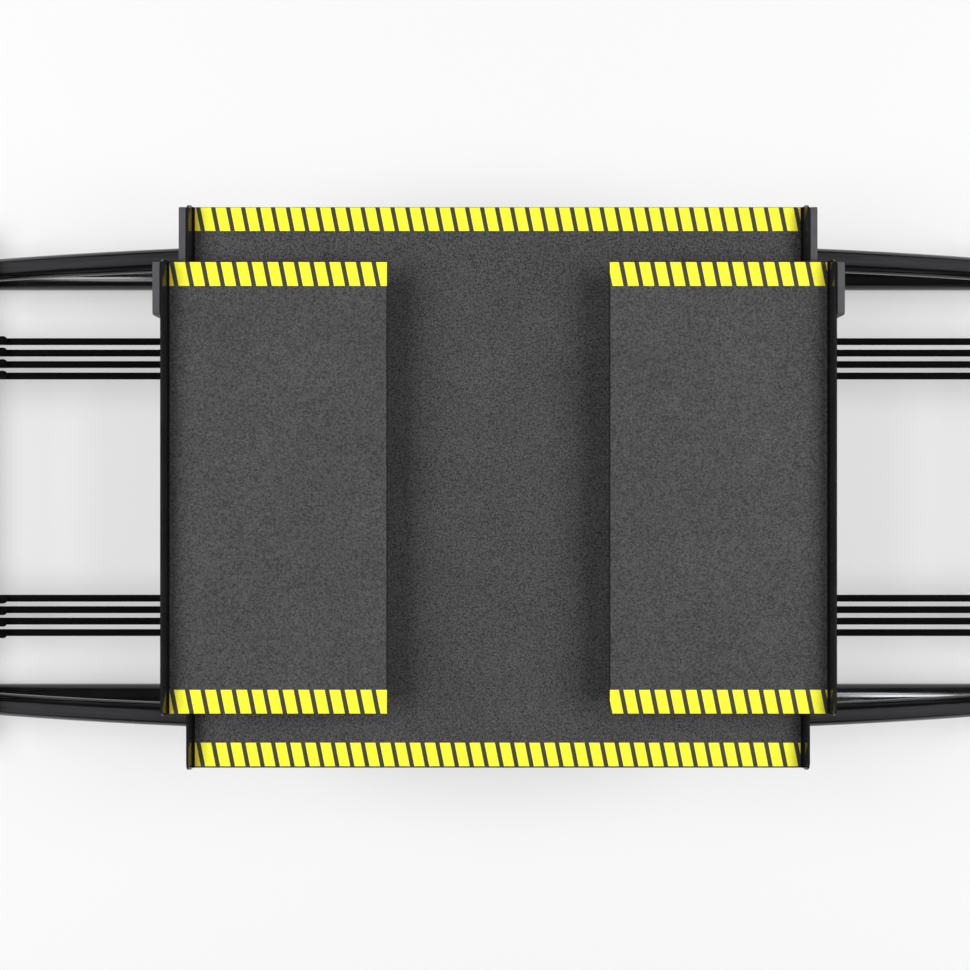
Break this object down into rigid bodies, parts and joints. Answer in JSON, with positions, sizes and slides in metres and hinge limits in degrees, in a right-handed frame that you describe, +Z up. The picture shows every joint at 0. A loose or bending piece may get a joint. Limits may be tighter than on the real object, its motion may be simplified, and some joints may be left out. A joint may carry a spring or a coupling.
{
  "type": "ski simulator",
  "caption": "Low arched-rail ski simulator with a rolling deck carriage, raised tilting foot platforms and elastic return cords.",
  "frame": {"origin": "on the floor under the middle of the machine", "axes": "+X the way the carriage travels, to the user's right; +Y the rear; +Z up"},
  "size_m": [1.3506, 0.626, 0.2612],
  "materials": {
    "gloss_black": "gloss black powder coat",
    "bare_steel": "zinc plated",
    "rubber": "matt moulded rubber",
    "cord": "black elastic cord, woven cover",
    "grip_deck": "dark grey grit coating on black sheet steel",
    "grip_foot": "dark grey grit coating on black sheet steel",
    "grey_plate": "mid grey satin",
    "roller": "cast polyurethane"
  },
  "bodies": {
    "frame": {"base_tube_rear": "gloss_black", "arch_rail_rear": "gloss_black", "base_tube_front": "gloss_black", "arch_rail_front": "gloss_black", "crossbar_left": "gloss_black", "anchor_rod_left": "bare_steel", "foot_boot_rear_left": "rubber", "end_stop_rear_left": "rubber", "foot_boot_front_left": "rubber", "end_stop_front_left": "rubber", "crossbar_right": "gloss_black", "anchor_rod_right": "bare_steel", "foot_boot_rear_right": "rubber", "end_stop_rear_right": "rubber", "foot_boot_front_right": "rubber", "end_stop_front_right": "rubber", "cord_rear_1": "cord", "cord_rear_2": "cord", "cord_rear_3": "cord", "cord_rear_4": "cord", "cord_front_1": "cord", "cord_front_2": "cord", "cord_front_3": "cord", "cord_front_4": "cord"},
    "carriage": {"deck_pan": "grip_deck", "truck_rear": "gloss_black", "truck_front": "gloss_black", "deck_corner_plate_left": "grey_plate", "cross_tie_left": "gloss_black", "pivot_shaft_left": "bare_steel", "axle_rear_left": "bare_steel", "pivot_block_rear_left": "grey_plate", "axle_front_left": "bare_steel", "pivot_block_front_left": "grey_plate", "cushion_left_inner": "rubber", "cushion_left_outer": "rubber", "deck_corner_plate_right": "grey_plate", "cross_tie_right": "gloss_black", "pivot_shaft_right": "bare_steel", "axle_rear_right": "bare_steel", "pivot_block_rear_right": "grey_plate", "axle_front_right": "bare_steel", "pivot_block_front_right": "grey_plate", "cushion_right_inner": "rubber", "cushion_right_outer": "rubber", "cord_hanger": "gloss_black", "cord_clamp": "gloss_black"},
    "left_foot": {"foot_pan_left": "grip_foot", "foot_corner_plate_left": "grey_plate"},
    "right_foot": {"foot_pan_right": "grip_foot", "foot_corner_plate_right": "grey_plate"},
    "upper_roller_rear_left": {"upper_roller_rear_left": "roller"},
    "upper_roller_front_left": {"upper_roller_front_left": "roller"},
    "upper_roller_rear_right": {"upper_roller_rear_right": "roller"},
    "upper_roller_front_right": {"upper_roller_front_right": "roller"},
    "lower_roller_rear_left": {"lower_roller_rear_left": "roller"},
    "lower_roller_front_left": {"lower_roller_front_left": "roller"},
    "lower_roller_rear_right": {"lower_roller_rear_right": "roller"},
    "lower_roller_front_right": {"lower_roller_front_right": "roller"}
  },
  "joints": [
    {"name": "carriage_swing", "type": "hinge", "parent": "frame", "child": "carriage", "pos_m": [0, 0, -1.995], "axis": [0, 1, 0], "range_deg": [-10, 10], "stiffness_Nm_per_rad": 11500, "deforming": ["cord_rear_1", "cord_rear_2", "cord_rear_3", "cord_rear_4", "cord_front_1", "cord_front_2", "cord_front_3", "cord_front_4"]},
    {"name": "left_foot_tilt", "type": "hinge", "parent": "carriage", "child": "left_foot", "pos_m": [-0.22, 0, 0.224], "axis": [0, 1, 0], "range_deg": [-5, 5], "stiffness_Nm_per_rad": 120, "deforming": ["cushion_left_inner", "cushion_left_outer"]},
    {"name": "right_foot_tilt", "type": "hinge", "parent": "carriage", "child": "right_foot", "pos_m": [0.22, 0, 0.224], "axis": [0, 1, 0], "range_deg": [-5, 5], "stiffness_Nm_per_rad": 120, "deforming": ["cushion_right_inner", "cushion_right_outer"]},
    {"name": "upper_roller_rear_left_spin", "type": "hinge", "parent": "carriage", "child": "upper_roller_rear_left", "pos_m": [-0.18, 0.2567, 0.16481], "axis": [0, 1, 0], "continuous": true},
    {"name": "upper_roller_front_left_spin", "type": "hinge", "parent": "carriage", "child": "upper_roller_front_left", "pos_m": [-0.18, -0.2567, 0.16481], "axis": [0, 1, 0], "continuous": true},
    {"name": "upper_roller_rear_right_spin", "type": "hinge", "parent": "carriage", "child": "upper_roller_rear_right", "pos_m": [0.18, 0.2567, 0.16481], "axis": [0, 1, 0], "continuous": true},
    {"name": "upper_roller_front_right_spin", "type": "hinge", "parent": "carriage", "child": "upper_roller_front_right", "pos_m": [0.18, -0.2567, 0.16481], "axis": [0, 1, 0], "continuous": true},
    {"name": "lower_roller_rear_left_spin", "type": "hinge", "parent": "carriage", "child": "lower_roller_rear_left", "pos_m": [-0.13, 0.2567, 0.1127], "axis": [0, 1, 0], "continuous": true},
    {"name": "lower_roller_front_left_spin", "type": "hinge", "parent": "carriage", "child": "lower_roller_front_left", "pos_m": [-0.13, -0.2567, 0.1127], "axis": [0, 1, 0], "continuous": true},
    {"name": "lower_roller_rear_right_spin", "type": "hinge", "parent": "carriage", "child": "lower_roller_rear_right", "pos_m": [0.13, 0.2567, 0.1127], "axis": [0, 1, 0], "continuous": true},
    {"name": "lower_roller_front_right_spin", "type": "hinge", "parent": "carriage", "child": "lower_roller_front_right", "pos_m": [0.13, -0.2567, 0.1127], "axis": [0, 1, 0], "continuous": true}
  ],
  "couplings": [
    {"joint": "upper_roller_rear_left_spin", "follows": "carriage_swing", "ratio": 126.47},
    {"joint": "upper_roller_front_left_spin", "follows": "carriage_swing", "ratio": 126.47},
    {"joint": "upper_roller_rear_right_spin", "follows": "carriage_swing", "ratio": 126.47},
    {"joint": "upper_roller_front_right_spin", "follows": "carriage_swing", "ratio": 126.47},
    {"joint": "lower_roller_rear_left_spin", "follows": "carriage_swing", "ratio": -212.2},
    {"joint": "lower_roller_front_left_spin", "follows": "carriage_swing", "ratio": -212.2},
    {"joint": "lower_roller_rear_right_spin", "follows": "carriage_swing", "ratio": -212.2},
    {"joint": "lower_roller_front_right_spin", "follows": "carriage_swing", "ratio": -212.2}
  ]
}
